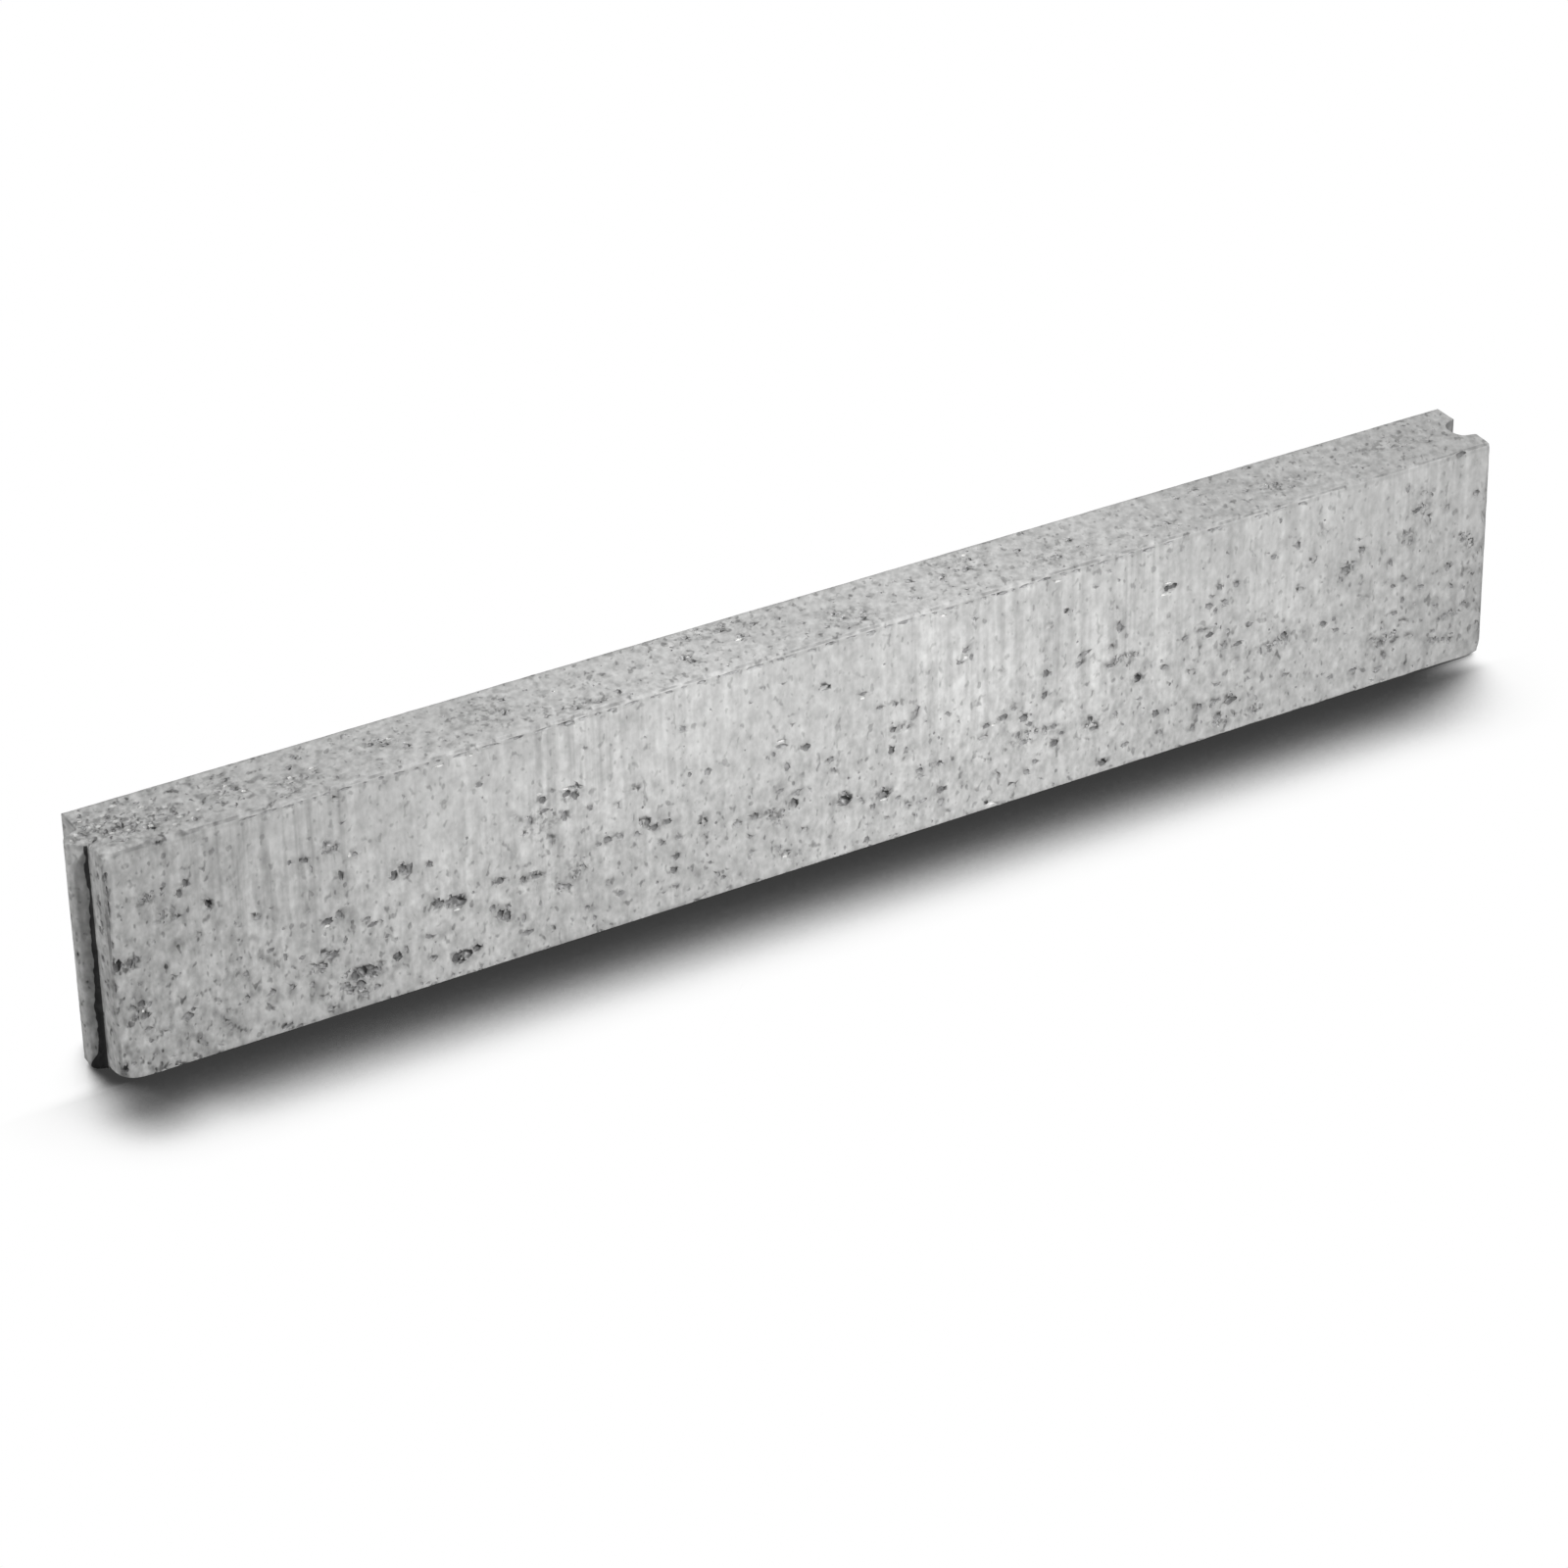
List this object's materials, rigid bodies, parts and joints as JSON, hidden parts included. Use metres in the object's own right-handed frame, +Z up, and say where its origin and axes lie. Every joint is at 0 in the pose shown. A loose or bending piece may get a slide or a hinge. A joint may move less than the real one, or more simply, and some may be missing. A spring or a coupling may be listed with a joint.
{
  "type": "kerb stone",
  "caption": "Straight cast concrete edging kerb stone, a slim upright slab with softly rounded edges, an upright tongue on one end and a matching groove in the other.",
  "frame": {"origin": "on the bed, halfway between the two end faces and halfway through the thickness", "axes": "+X along the stone from the tongue end to the groove end, +Y from the face that shows to the face behind it, +Z up"},
  "size_m": [1.011, 0.06, 0.16],
  "materials": {
    "concrete": "pale grey cast concrete, matt, with open pores and upright drag marks from the mould"
  },
  "bodies": {
    "root": {"kerb_stone": "concrete"}
  },
  "joints": []
}
